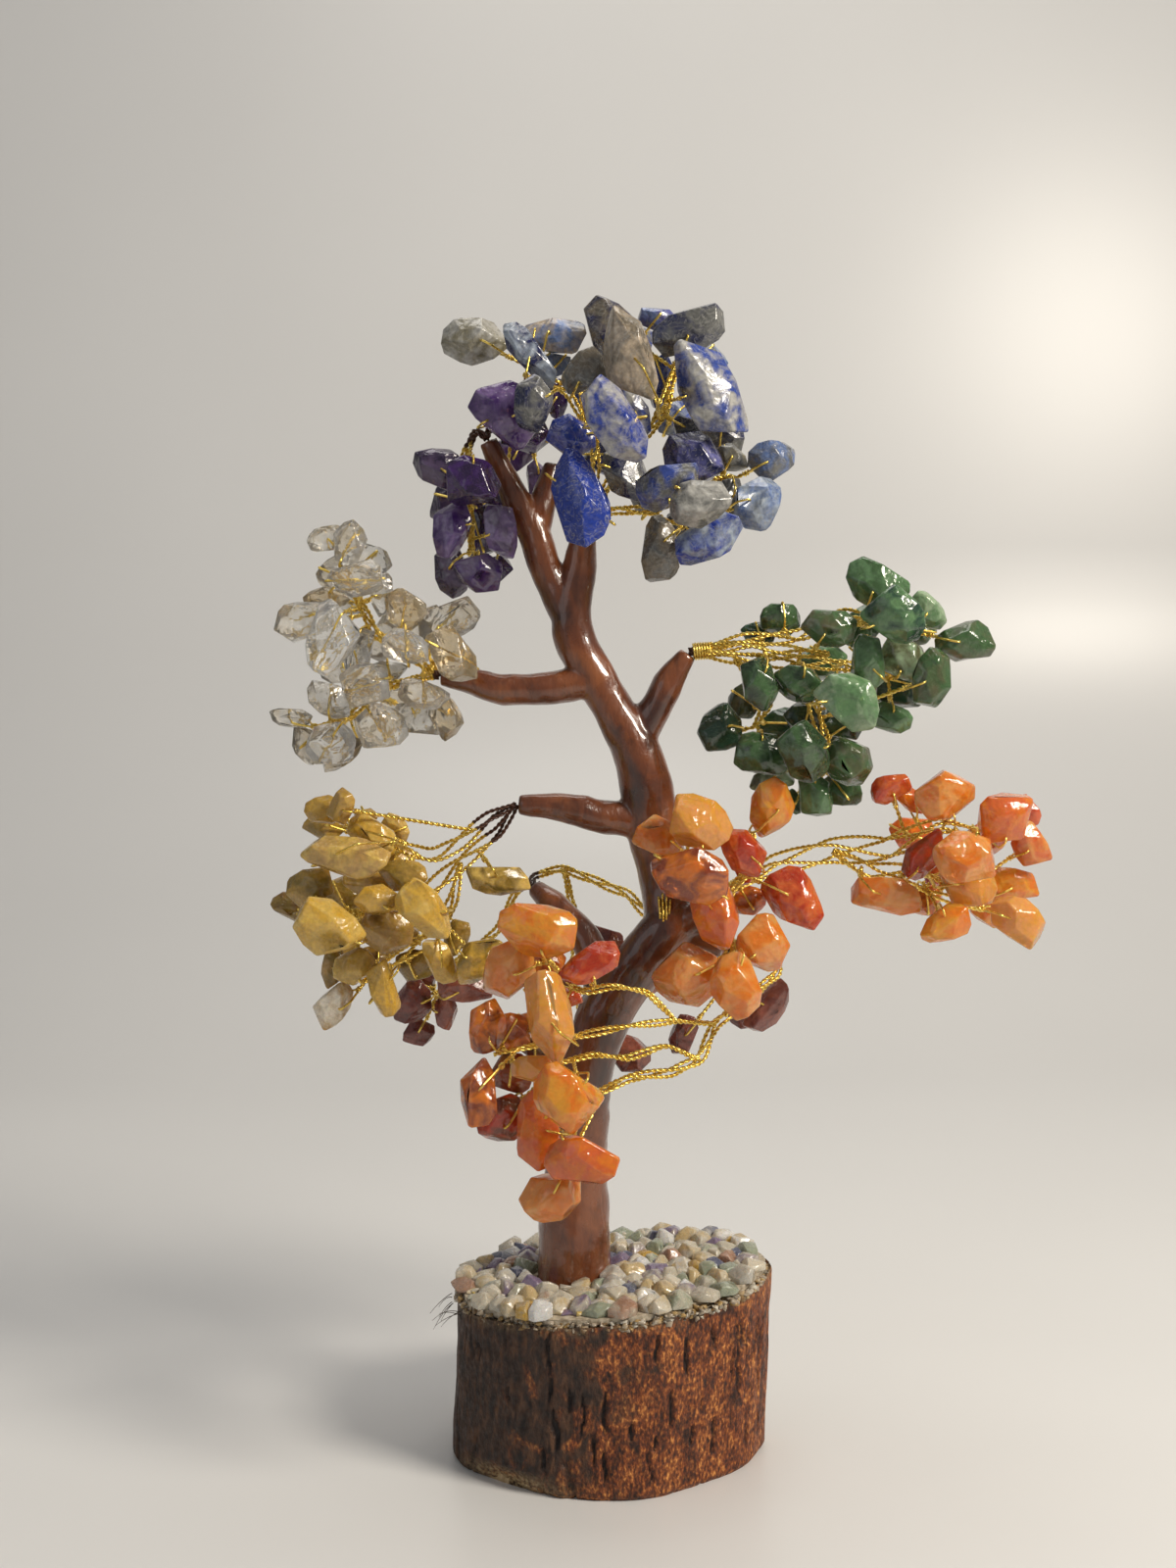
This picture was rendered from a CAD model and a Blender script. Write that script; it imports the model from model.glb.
import itertools
import math
import random
import bmesh
import bpy
import numpy as np
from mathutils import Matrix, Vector
from mathutils.kdtree import KDTree


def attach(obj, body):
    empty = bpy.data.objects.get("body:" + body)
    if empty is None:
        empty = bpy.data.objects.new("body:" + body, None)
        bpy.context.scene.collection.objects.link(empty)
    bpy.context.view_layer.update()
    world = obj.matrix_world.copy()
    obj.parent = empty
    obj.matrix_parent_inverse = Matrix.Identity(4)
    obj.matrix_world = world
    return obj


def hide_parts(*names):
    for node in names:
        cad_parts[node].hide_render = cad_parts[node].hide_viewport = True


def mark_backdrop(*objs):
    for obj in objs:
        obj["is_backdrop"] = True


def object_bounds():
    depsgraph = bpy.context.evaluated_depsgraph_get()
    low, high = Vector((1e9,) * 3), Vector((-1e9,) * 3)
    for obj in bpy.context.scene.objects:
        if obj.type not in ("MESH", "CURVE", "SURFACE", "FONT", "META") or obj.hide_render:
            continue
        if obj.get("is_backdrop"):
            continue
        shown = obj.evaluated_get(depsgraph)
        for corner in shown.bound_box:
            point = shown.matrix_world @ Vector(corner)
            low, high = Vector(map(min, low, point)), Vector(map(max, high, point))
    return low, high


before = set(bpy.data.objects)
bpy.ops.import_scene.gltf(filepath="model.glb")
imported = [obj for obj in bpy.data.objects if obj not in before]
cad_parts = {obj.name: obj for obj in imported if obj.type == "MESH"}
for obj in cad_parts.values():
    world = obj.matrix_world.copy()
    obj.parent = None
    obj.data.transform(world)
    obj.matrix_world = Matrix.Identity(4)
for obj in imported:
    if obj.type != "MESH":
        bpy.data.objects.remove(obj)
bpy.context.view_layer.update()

# Looks of the gemstone tree: rounded stones, twisted wire, a lumpy glossy coat, bark and gravel.
# Places are worked out in millimetres, as in the part, and meshes are made in metres.

# The eye that the places were read with. A place is a pixel column, a pixel row and a depth share.
EYE_DISTANCE = 374.0
EYE_HEIGHT = 167.0
EYE_SIDE = -4.4
EYE_PITCH_DEG = 3.1
FOCAL_PX = 1750
MIDDLE_PX = (600, 800)
# How far a depth share of one lies behind the plane of the trunk.
DEPTH_REACH = 40.0

# Log slice
LOG_HALF_WIDTH = 34.5
LOG_HALF_DEPTH = 29.0
LOG_HEIGHT = 37.0
LOG_LEAN = 1.3
LOG_TOP_SLOPE_DEG = 4.3
BARK_THICKNESS = 2.4
# Waves round the log: how many, how high as a share of the radius, where they start.
LOG_WAVE_SHARES = [(2, 0.012, 0.4), (3, 0.016, 1.0), (5, 0.012, 2.2), (9, 0.008, 0.5)]


# Trunk: the radius at the foot, of which the limb tables give shares.
TRUNK_RADIUS = 8.3

# Wire
STRAND_RADIUS = 0.25
TWIG_RADIUS = 0.45
KNOT_RADIUS = 0.62
STEM_RADIUS = 0.95
STEM_BEND = 5.0
LOOP_BEND = 0.7
BALL_RADIUS = 1.25
BALL_CLEARANCE = 0.15
# How far the ball stands out of its seat, as a share of its radius.
BALL_OUT_SHARE = 0.4
WIRE_CLEARANCE = 0.1

# Stone chips
CHIP_LENGTH = 11.9
CHIP_THICKNESS_SHARE = 0.78
TWIG_PITCH = 1.3
CHIP_TILT = 0.25
HOLE_SHARE = 0.18
FACE_TILT = 0.42
# How far the cut corners and edges of a chip lie from its middle, the sides lying at one.
CORNER_SHARES = (0.86, 1.32)
EDGE_SHARES = (0.92, 1.25)
CHIP_EDGES = 4

# Limbs of the trunk. Each row: pixel column, pixel row, depth share, radius share.
LIMB_SHARES = {
    "lower": [(586, 1240, 0, 0.9), (588, 1180, 0, 0.77), (596, 1100, 0, 0.72), (615, 1040, -0.02, 0.7),
              (648, 988, -0.05, 0.68), (682, 948, -0.06, 0.66), (706, 930, -0.05, 0.5)],
    "stem": [(684, 948, -0.05, 0.62), (680, 905, 0, 0.63), (668, 850, 0.04, 0.67), (658, 800, 0.04, 0.66),
             (649, 766, 0.03, 0.63), (628, 727, 0.02, 0.55), (608, 692, 0.02, 0.53), (588, 655, 0.02, 0.5),
             (583, 625, 0.02, 0.48), (591, 580, 0.02, 0.42), (597, 540, 0, 0.3)],
    "leader": [(585, 640, 0.02, 0.4), (557, 582, 0.03, 0.42), (545, 545, 0.04, 0.4), (528, 512, 0.04, 0.36),
               (512, 480, 0.02, 0.29), (498, 450, 0, 0.24)],
    "tine": [(545, 548, 0.04, 0.34), (557, 503, 0.08, 0.33), (563, 474, 0.1, 0.2)],
    "quartz": [(612, 692, 0.02, 0.42), (560, 703, 0, 0.43), (520, 703, 0, 0.4), (488, 697, 0, 0.34),
               (450, 690, 0, 0.24)],
    "green": [(648, 762, 0.03, 0.42), (668, 722, 0.03, 0.43), (682, 697, 0.02, 0.38), (702, 667, 0, 0.24)],
    "yellow": [(660, 836, 0.04, 0.42), (620, 834, 0.02, 0.43), (590, 828, 0, 0.38), (560, 823, 0, 0.36),
               (529, 821, 0, 0.26)],
    "jasper": [(622, 1030, 0, 0.46), (600, 962, 0.1, 0.4), (567, 925, 0.2, 0.34), (546, 906, 0.3, 0.25)],
    "far": [(694, 944, -0.03, 0.44), (712, 928, 0.03, 0.38), (736, 914, 0.1, 0.28)],
    "near": [(690, 946, -0.05, 0.44), (706, 938, -0.12, 0.38), (722, 932, -0.2, 0.28)],
    "front": [(690, 950, -0.05, 0.44), (716, 960, -0.06, 0.36), (738, 968, -0.08, 0.28)],
}
# The limb that carries each spray at its tip.
SPRAY_LIMBS = {"lapis": "stem", "amethyst": "leader", "quartz": "quartz", "green": "green",
               "yellow": "yellow", "carnelian_far": "far", "carnelian_near": "near",
               "carnelian_front": "front", "jasper": "jasper"}

# Ropes of each spray. The first point of a rope that leaves the root is left out: it is the ball.
# Each rope: the rope and point it leaves (or None for the root), a radius share, and its points as
# pixel column, pixel row, depth share.
ROPE_SHARES = {
    "lapis": [(None, 1.0, [(606, 500, 0.03), (608, 455, 0.02), (594, 402, 0.05)]),
              (None, 1.0, [(622, 492, 0.04), (650, 452, 0.06), (677, 425, 0.06), (690, 375, 0.1)]),
              (None, 1.0, [(625, 520, 0.05), (665, 522, 0.06), (705, 492, 0.06), (750, 488, 0.08)]),
              ((2, 1), 0.7, [(682, 532, 0), (702, 534, -0.12)]),
              ((0, 1), 0.7, [(580, 400, 0.02), (536, 384, 0.04)])],
    "amethyst": [(None, 0.9, [(486, 438, 0), (474, 462, 0.06), (478, 515, 0.06), (482, 562, 0.06)]),
                 (None, 0.9, [(502, 428, 0.08), (526, 430, 0.28), (552, 428, 0.45)])],
    "quartz": [(None, 1.0, [(415, 668, 0.05), (385, 648, 0.07), (368, 618, 0.07), (353, 572, 0.06)]),
               (None, 0.9, [(420, 693, 0.07), (388, 704, 0.09), (360, 730, 0.1), (328, 742, 0.08)]),
               (None, 0.8, [(438, 664, 0.1), (434, 640, 0.1)])],
    "green": [(None, 1.0, [(760, 652, -0.02), (815, 650, 0.02), (862, 626, 0.06), (925, 642, 0.08)]),
              (None, 1.0, [(750, 672, 0.03), (808, 676, 0.06), (858, 678, 0.1), (912, 690, 0.08)]),
              (None, 0.9, [(752, 662, -0.06), (806, 664, -0.06), (846, 668, -0.02)]),
              ((1, 1), 0.8, [(828, 712, 0.06), (840, 750, 0.05), (846, 790, 0.06)]),
              ((1, 0), 0.8, [(788, 712, 0.08), (770, 742, 0.08)])],
    "yellow": [(None, 0.9, [(500, 833, 0), (470, 858, 0.02), (442, 876, 0.04), (415, 866, 0.06),
                            (380, 842, 0.08)]),
               (None, 1.0, [(508, 850, 0.04), (470, 880, 0.06), (440, 908, 0.06), (400, 935, 0.08),
                            (352, 930, 0.08)]),
               ((1, 1), 0.8, [(462, 918, 0.06), (450, 948, 0.06), (412, 975, 0.06), (370, 1002, 0.05)])],
    "carnelian_far": [(None, 1.0, [(790, 882, 0.1), (850, 868, 0.08), (905, 866, 0.06), (960, 842, 0.06),
                                   (1004, 850, 0.06)]),
                      ((0, 1), 0.9, [(892, 892, 0.06), (935, 896, 0.1), (1004, 928, 0.06)])],
    "carnelian_near": [(None, 0.9, [(745, 912, -0.24), (766, 884, -0.22), (768, 850, -0.22)]),
                       (None, 0.9, [(748, 952, -0.26), (738, 985, -0.28)]),
                       (None, 0.8, [(712, 900, -0.28), (700, 868, -0.28)])],
    "carnelian_front": [(None, 0.9, [(785, 962, -0.08), (798, 990, -0.14), (765, 1018, -0.3),
                                     (730, 1045, -0.46), (714, 1082, -0.56), (685, 1094, -0.62),
                                     (640, 1100, -0.7), (604, 1120, -0.72), (582, 1160, -0.72)]),
                        ((0, 3), 0.65, [(690, 1042, -0.56), (640, 1047, -0.68), (595, 1056, -0.68),
                                        (540, 1068, -0.62), (504, 1076, -0.64)]),
                        ((0, 4), 0.6, [(680, 1066, -0.62), (640, 1080, -0.68), (605, 1076, -0.72),
                                       (566, 1086, -0.72)]),
                        ((1, 0), 0.6, [(660, 1012, -0.62), (625, 1006, -0.68), (590, 1014, -0.66),
                                       (556, 975, -0.6)])],
    "jasper": [(None, 1.0, [(541, 894, 0.43), (575, 886, 0.5), (640, 912, 0.54), (690, 965, 0.56),
                            (745, 1012, 0.55)]),
               (None, 0.9, [(529, 904, 0.45), (508, 950, 0.52), (462, 985, 0.55), (440, 1030, 0.56)]),
               ((0, 1), 0.9, [(588, 940, 0.57), (584, 1005, 0.58), (606, 1064, 0.58)])],
}

# Stone chips of each spray. Each row: pixel column, pixel row, depth share, length share and width
# share of the chip length, turn of the long side from the right in degrees.
CHIP_SHARES = {
    "lapis": [
        (486, 346, -0.05, 1.2, 0.84, 5), (540, 365, -0.08, 1.4, 0.52, -50), (566, 345, 0.12, 1.26, 0.64, 0),
        (619, 334, 0.06, 1.1, 0.88, 90), (645, 368, -0.28, 1.7, 0.9, -80), (670, 326, 0.28, 0.7, 0.45, -10),
        (702, 339, 0.02, 1.36, 0.84, 25), (718, 398, -0.2, 2.0, 1.1, -60), (675, 387, 0.15, 1.0, 0.5, 85),
        (597, 378, -0.15, 0.92, 0.72, 20), (568, 370, 0.2, 0.55, 0.45, 0), (627, 429, -0.42, 1.65, 0.86, -62),
        (648, 418, -0.1, 1.0, 0.46, -65), (585, 447, -0.32, 0.9, 0.72, -20),
        (591, 507, -0.36, 1.76, 0.92, -75),
        (544, 413, -0.3, 1.0, 0.68, 88), (644, 484, -0.12, 1.14, 0.76, -57),
        (709, 463, -0.12, 1.14, 0.94, -15),
        (747, 471, 0.08, 0.64, 0.48, -42), (787, 471, 0.05, 0.88, 0.74, 10), (679, 498, -0.2, 1.16, 0.8, 12),
        (711, 514, -0.38, 1.06, 0.82, 15), (746, 507, -0.02, 0.72, 0.56, 90),
        (771, 513, -0.12, 0.98, 0.82, 60),
        (721, 549, -0.25, 1.3, 0.78, 28), (676, 557, -0.12, 1.22, 0.68, 90), (703, 437, 0, 0.54, 0.42, 0),
        (610, 402, 0.42, 0.95, 0.7, 30), (645, 352, 0.5, 1.0, 0.7, 60), (692, 428, 0.42, 1.0, 0.75, -30),
        (735, 448, 0.35, 0.9, 0.7, 0), (668, 505, 0.32, 0.95, 0.7, 45), (622, 466, 0.4, 0.95, 0.7, -20),
        (715, 372, 0.48, 0.95, 0.7, 20), (700, 540, 0.3, 0.9, 0.7, -45)],
    "amethyst": [
        (518, 420, -0.12, 1.3, 1.05, -30), (536, 440, 0.1, 0.9, 0.7, 0), (568, 408, 0.5, 0.8, 0.4, 90),
        (455, 480, -0.04, 1.1, 0.72, -8), (480, 494, -0.14, 1.06, 0.9, -20), (461, 541, -0.05, 1.04, 0.7, 80),
        (490, 546, 0.2, 1.0, 0.62, 90), (513, 542, -0.05, 1.04, 0.62, -75), (461, 585, 0, 0.94, 0.62, -70),
        (488, 584, -0.1, 0.88, 0.72, 0), (505, 578, 0.25, 0.6, 0.45, 30), (549, 488, 0.38, 0.7, 0.45, 85),
        (500, 518, 0.35, 0.9, 0.7, 0), (524, 462, 0.5, 0.9, 0.7, 30), (462, 512, 0.32, 0.9, 0.7, 60)],
    "quartz": [
        (333, 550, 0.05, 0.68, 0.48, 10), (356, 557, -0.08, 0.92, 0.64, 80),
        (377, 571, 0.12, 0.76, 0.56, -30),
        (364, 591, -0.2, 1.0, 0.64, 5), (391, 606, 0.02, 0.84, 0.44, -80), (336, 611, 0, 0.84, 0.42, 8),
        (310, 632, -0.1, 1.0, 0.7, 15), (338, 652, -0.22, 1.36, 0.92, 70), (355, 616, 0.25, 0.68, 0.48, 0),
        (367, 668, -0.02, 0.96, 0.56, 70), (416, 622, -0.08, 0.84, 0.68, -45),
        (454, 630, -0.02, 1.24, 0.72, 30),
        (420, 662, -0.25, 0.9, 0.56, -22), (459, 667, -0.15, 1.1, 0.74, -58), (374, 702, -0.2, 0.92, 0.8, 0),
        (337, 718, 0, 0.92, 0.62, -28), (299, 733, 0.02, 0.84, 0.38, 0), (312, 760, 0.1, 0.8, 0.48, -68),
        (342, 753, -0.07, 0.92, 0.8, 0), (348, 772, 0.08, 0.88, 0.42, 33), (383, 742, -0.1, 0.96, 0.84, 0),
        (424, 733, 0.02, 0.94, 0.56, -12), (433, 709, -0.18, 0.92, 0.56, -10),
        (453, 728, -0.05, 0.9, 0.58, -70),
        (397, 684, 0.28, 0.7, 0.4, 0), (430, 640, 0.4, 0.9, 0.65, 20), (350, 680, 0.38, 0.9, 0.7, 0),
        (395, 650, 0.4, 0.9, 0.65, 50), (360, 735, 0.42, 0.9, 0.65, -30), (345, 585, 0.35, 0.85, 0.6, 30),
        (405, 720, 0.4, 0.85, 0.6, 60)],
    "green": [
        (895, 598, -0.05, 1.2, 0.8, -25), (911, 630, -0.15, 1.08, 0.86, -40), (947, 623, 0, 0.82, 0.52, -50),
        (983, 654, -0.02, 1.06, 0.72, 3), (796, 632, 0.18, 0.84, 0.62, 0), (775, 646, 0.32, 0.68, 0.44, 0),
        (848, 642, -0.14, 0.96, 0.72, -12), (886, 677, -0.12, 1.16, 0.6, 90),
        (777, 697, -0.1, 0.98, 0.68, -70),
        (813, 698, -0.08, 0.92, 0.72, 0), (818, 730, 0.2, 0.76, 0.6, 0), (866, 714, -0.22, 1.26, 0.86, -38),
        (925, 672, -0.08, 1.02, 0.74, -40), (920, 702, 0.25, 1.02, 0.76, 0),
        (949, 690, -0.18, 1.08, 0.68, 70),
        (909, 732, 0.02, 0.76, 0.54, -10), (738, 746, 0.02, 0.96, 0.82, 68), (776, 770, -0.08, 0.98, 0.8, 0),
        (787, 796, 0.08, 0.84, 0.48, 10), (819, 768, -0.2, 1.1, 0.86, -60),
        (830, 808, -0.02, 0.92, 0.64, -77),
        (866, 776, -0.12, 1.02, 0.84, -35), (858, 805, 0.12, 0.78, 0.66, 0), (809, 819, 0.1, 0.5, 0.34, -60),
        (862, 742, 0.22, 0.78, 0.48, 0), (840, 675, 0.4, 0.95, 0.7, 0), (880, 640, 0.4, 0.95, 0.7, 45),
        (930, 640, 0.36, 0.9, 0.65, -20), (800, 740, 0.42, 0.9, 0.7, 30), (845, 745, 0.45, 0.9, 0.7, -60),
        (900, 700, 0.48, 0.9, 0.65, 0), (760, 715, 0.38, 0.85, 0.6, 60)],
    "yellow": [
        (331, 827, -0.05, 0.7, 0.56, 0), (351, 826, -0.12, 0.66, 0.5, 80), (331, 843, 0.18, 0.84, 0.44, -10),
        (375, 850, -0.14, 0.98, 0.52, -32), (373, 834, 0.22, 0.44, 0.34, 0),
        (357, 870, -0.22, 1.58, 0.74, -15),
        (404, 846, 0.2, 0.64, 0.48, -50), (317, 904, -0.1, 0.88, 0.64, 25), (302, 926, 0.12, 0.9, 0.52, -20),
        (377, 902, -0.08, 0.92, 0.58, 0), (409, 895, -0.16, 0.96, 0.58, -8),
        (431, 926, -0.22, 1.24, 0.74, -55),
        (388, 921, -0.24, 0.86, 0.54, -12), (339, 947, -0.25, 1.26, 0.92, -25),
        (390, 952, -0.18, 1.0, 0.86, -15),
        (410, 955, 0.22, 0.7, 0.54, 0), (340, 988, 0.1, 0.78, 0.46, 88), (362, 988, -0.12, 0.82, 0.66, 50),
        (390, 1005, -0.14, 1.04, 0.5, -75), (340, 1027, -0.02, 0.98, 0.62, 52),
        (450, 980, -0.08, 0.9, 0.52, -62),
        (486, 978, -0.15, 1.1, 0.7, 43), (465, 958, 0.22, 0.74, 0.48, 65), (424, 984, 0.2, 0.8, 0.6, 0),
        (508, 898, -0.1, 1.22, 0.56, -10), (350, 912, 0.24, 0.96, 0.7, 0), (385, 976, 0.24, 0.6, 0.4, 0),
        (400, 880, 0.36, 0.9, 0.6, 0), (370, 930, 0.42, 0.9, 0.65, 30), (355, 960, 0.4, 0.85, 0.6, 60)],
    "carnelian_far": [
        (911, 804, -0.05, 0.76, 0.54, 25), (930, 816, 0.1, 0.66, 0.4, -35), (966, 814, -0.12, 1.1, 0.94, 40),
        (1021, 835, -0.15, 1.08, 0.98, 15), (1046, 829, 0.12, 0.7, 0.48, -60),
        (1050, 863, 0.02, 0.84, 0.62, -60),
        (983, 870, -0.22, 1.2, 0.94, 0), (945, 874, -0.12, 1.04, 0.62, 50), (905, 911, -0.1, 1.32, 0.7, -6),
        (942, 919, 0.24, 0.8, 0.6, 0), (985, 907, 0, 1.04, 0.8, 10), (965, 940, -0.12, 1.0, 0.66, 33),
        (1030, 905, 0.06, 1.08, 0.68, 0), (1034, 937, -0.14, 1.1, 0.78, -50),
        (1000, 860, 0.36, 0.95, 0.7, 30),
        (930, 850, 0.32, 0.9, 0.65, 0), (1010, 925, 0.36, 0.9, 0.65, -30), (965, 885, 0.4, 0.9, 0.65, 60)],
    "carnelian_near": [
        (679, 854, -0.36, 0.92, 0.66, -18), (712, 842, -0.42, 1.18, 0.94, -40),
        (783, 831, -0.2, 1.16, 0.78, 64),
        (757, 868, -0.4, 1.0, 0.72, -60), (760, 890, -0.1, 0.56, 0.36, 90), (705, 893, -0.5, 1.32, 1.04, 0),
        (731, 932, -0.5, 1.36, 0.82, -80), (764, 917, -0.12, 0.68, 0.52, 0),
        (811, 918, -0.28, 1.24, 0.9, -50),
        (776, 964, -0.44, 1.02, 1.0, 60), (706, 999, -0.46, 1.24, 1.12, 0),
        (743, 1001, -0.42, 1.18, 0.82, -80)],
    "carnelian_front": [
        (549, 952, -0.74, 1.34, 0.9, -5), (521, 990, -0.66, 1.1, 0.9, 60), (557, 990, -0.5, 0.88, 0.68, 80),
        (597, 987, -0.78, 1.16, 0.58, 25), (498, 1051, -0.7, 0.98, 0.62, 85), (524, 1053, -0.5, 0.78, 0.7, 0),
        (562, 1046, -0.84, 1.56, 0.8, -75), (540, 1045, -0.45, 0.48, 0.36, 0),
        (578, 1106, -0.84, 1.2, 0.94, -30),
        (548, 1092, -0.82, 0.76, 0.52, 0), (493, 1100, -0.7, 1.16, 0.6, -85),
        (522, 1100, -0.55, 0.84, 0.72, 0),
        (516, 1141, -0.65, 0.94, 0.86, 20), (555, 1153, -0.82, 1.44, 0.78, 85),
        (591, 1178, -0.88, 1.24, 0.86, -15),
        (562, 1214, -0.8, 1.02, 0.84, 20), (545, 1070, -0.5, 0.6, 0.44, 0), (578, 1016, -0.5, 0.5, 0.34, 0)],
    "jasper": [
        (424, 1024, 0.45, 0.96, 0.72, 60), (427, 1054, 0.55, 0.64, 0.56, 0), (454, 1030, 0.4, 0.8, 0.42, 82),
        (473, 1008, 0.38, 1.1, 0.58, -12), (430, 1000, 0.66, 0.56, 0.4, 0), (522, 943, 0.34, 0.5, 0.36, 0),
        (618, 962, 0.34, 0.9, 0.62, -30), (697, 1056, 0.45, 0.9, 0.5, 78), (758, 1033, 0.6, 0.8, 0.6, -20),
        (785, 1028, 0.44, 1.16, 0.64, 52), (560, 1000, 0.68, 0.9, 0.7, 0), (604, 1090, 0.68, 0.95, 0.7, 30),
        (640, 1075, 0.62, 0.9, 0.7, -40), (510, 1000, 0.68, 0.9, 0.65, 20), (655, 1000, 0.72, 0.95, 0.7, 0),
        (720, 975, 0.7, 0.9, 0.65, 45), (570, 1075, 0.66, 0.9, 0.65, 60), (690, 925, 0.62, 0.9, 0.65, 0)],
}

# Looks. Colours of the stones, then for each spray the two tints of each chip in the order of the table.
TINTS = {
    "navy": (0.012, 0.015, 0.065), "royal": (0.012, 0.036, 0.27), "blue": (0.035, 0.065, 0.28),
    "sky": (0.11, 0.17, 0.35), "ice": (0.31, 0.36, 0.43), "white": (0.41, 0.4, 0.37),
    "grey": (0.13, 0.13, 0.122),
    "dark": (0.05, 0.05, 0.055), "taupe": (0.17, 0.14, 0.1), "beige": (0.44, 0.35, 0.25),
    "olive": (0.20, 0.18, 0.12), "lavender": (0.1, 0.1, 0.28),
    "violet": (0.065, 0.02, 0.15), "lilac": (0.23, 0.15, 0.35), "plum": (0.025, 0.010, 0.050),
    "mauve": (0.12, 0.08, 0.16),
    "clear": (0.86, 0.85, 0.82), "cream": (0.78, 0.70, 0.56), "smoke": (0.55, 0.52, 0.46),
    "honey": (0.66, 0.50, 0.26),
    "moss": (0.028, 0.055, 0.024), "fern": (0.065, 0.135, 0.05), "jade": (0.14, 0.27, 0.12),
    "mint": (0.36, 0.48, 0.3),
    "sage": (0.36, 0.40, 0.29), "bone": (0.66, 0.6, 0.48), "heather": (0.25, 0.19, 0.30),
    "slate": (0.12, 0.13, 0.21), "blush": (0.46, 0.27, 0.18), "khaki": (0.12, 0.125, 0.06),
    "teal": (0.03, 0.075, 0.045),
    "gold": (0.6, 0.36, 0.045), "sand": (0.47, 0.29, 0.055), "straw": (0.62, 0.42, 0.1),
    "drab": (0.26, 0.17, 0.025),
    "fawn": (0.46, 0.28, 0.085), "brown": (0.19, 0.10, 0.03),
    "orange": (0.85, 0.25, 0.018), "peach": (0.88, 0.42, 0.12), "red": (0.52, 0.05, 0.014),
    "amber": (0.85, 0.41, 0.045),
    "brick": (0.30, 0.065, 0.022), "coral": (0.76, 0.17, 0.04), "rust": (0.20, 0.045, 0.015),
    "maroon": (0.11, 0.026, 0.021), "wine": (0.2, 0.052, 0.036), "clay": (0.33, 0.1, 0.06),
}
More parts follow.
